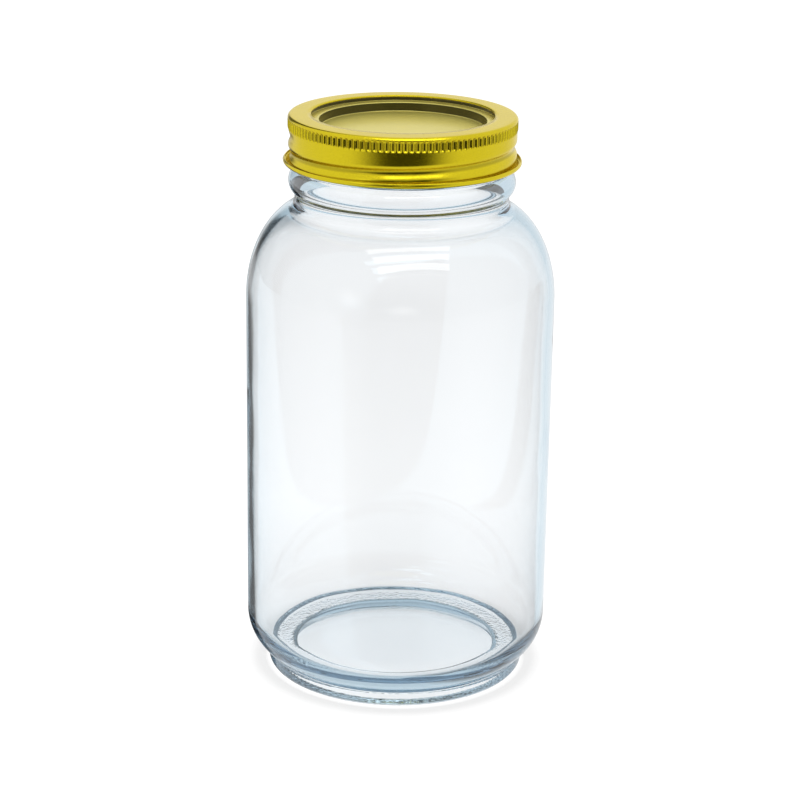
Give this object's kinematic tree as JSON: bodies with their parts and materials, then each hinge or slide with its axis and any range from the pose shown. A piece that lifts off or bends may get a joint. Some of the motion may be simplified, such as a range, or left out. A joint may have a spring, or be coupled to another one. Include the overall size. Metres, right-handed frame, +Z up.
{
  "type": "mason jar",
  "caption": "Tall round clear glass canning jar with a flat metal lid disc and a knurled gold screw band.",
  "frame": {"origin": "centre of the flat ring the jar stands on", "axes": "+Z up along the jar's axis, from foot to lid; the jar is round, so X and Y are free, and the band's thread rises from -X through -Y to +X"},
  "size_m": [0.0954, 0.0954, 0.178],
  "materials": {
    "clear_glass": "polished",
    "gold_lacquered_tinplate": "satin",
    "gold_lacquered_lid": "satin",
    "sealing_compound": "matte"
  },
  "bodies": {
    "jar": {"glass_jar": "clear_glass"},
    "lid": {"lid_disc": "gold_lacquered_lid", "sealing_gasket": "sealing_compound"},
    "band": {"screw_band": "gold_lacquered_tinplate"}
  },
  "joints": [
    {"name": "lid_lift", "type": "slide", "parent": "jar", "child": "lid", "axis": [0, 0, 1], "range_m": [0, 0.0204]},
    {"name": "band_turn", "type": "hinge", "parent": "lid", "child": "band", "pos_m": [0, 0, 0.17], "axis": [0, 0, 1], "range_deg": [0, 1440]}
  ],
  "couplings": [
    {"joint": "lid_lift", "follows": "band_turn", "m_per_rad": 0.00080851}
  ]
}
